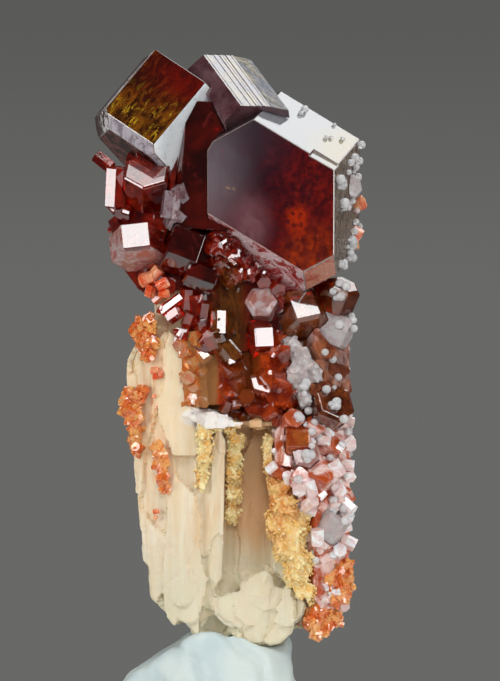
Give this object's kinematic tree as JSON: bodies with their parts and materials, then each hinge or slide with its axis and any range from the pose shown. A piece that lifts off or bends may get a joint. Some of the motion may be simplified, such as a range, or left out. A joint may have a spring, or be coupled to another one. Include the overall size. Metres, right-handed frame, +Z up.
{
  "type": "vanadinite on matrix",
  "caption": "Mineral specimen: deep red hexagonal vanadinite crystals on a column of cream bladed baryte, standing upright in a lump of white mounting putty.",
  "frame": {"origin": "on the flat underside of the putty, at the middle of the specimen's footprint box", "axes": "+Z up along the column, X left to right across the front, +Y away from a viewer of the front"},
  "size_m": [0.0169, 0.0121, 0.0409],
  "materials": {
    "vanadinite_red": "clear deep red crystal, glassy faces with fine growth lines",
    "vanadinite_orange": "clear orange crystal, glassy faces",
    "vanadinite_frosted": "rose to red-brown crystal under a thin pale frosting with clear globules",
    "baryte": "cream, faintly see-through blades with fine upright lines, tan in the hollows",
    "ochre": "rough earthy yellow-brown crust",
    "putty": "smooth matt white putty with a faint blue cast"
  },
  "bodies": {
    "root": {"back_crystal": "vanadinite_red", "baryte_matrix": "baryte", "block_crystal": "vanadinite_red", "bottom_tuft": "vanadinite_orange", "brown_prism_crystal": "vanadinite_frosted", "centre_druse": "vanadinite_red", "centre_ochre": "ochre", "front_crystals": "vanadinite_orange", "frosted_crystal": "vanadinite_frosted", "grey_faced_crystal": "vanadinite_frosted", "grey_pair": "vanadinite_red", "hexagonal_crystal": "vanadinite_frosted", "large_crystal": "vanadinite_red", "left_crystal": "vanadinite_red", "left_patch": "vanadinite_orange", "lower_block_crystal": "vanadinite_red", "lower_dark_crystal": "vanadinite_frosted", "lower_left_tuft": "vanadinite_orange", "orange_red_crystal": "vanadinite_orange", "outer_left_crystal": "vanadinite_red", "pink_topped_crystal": "vanadinite_red", "putty_mount": "putty", "red_brown_crystal": "vanadinite_red", "right_crust": "vanadinite_frosted", "right_ochre": "ochre", "right_tuft": "vanadinite_orange", "side_hexagon_crystal": "vanadinite_frosted", "square_crystal": "vanadinite_red", "star_crystal": "vanadinite_frosted", "top_crystal": "vanadinite_red", "upper_left_tuft": "vanadinite_orange", "white_faced_crystal": "vanadinite_red", "white_square_crystal": "vanadinite_frosted", "white_tip_crystal": "vanadinite_frosted"}
  },
  "joints": []
}
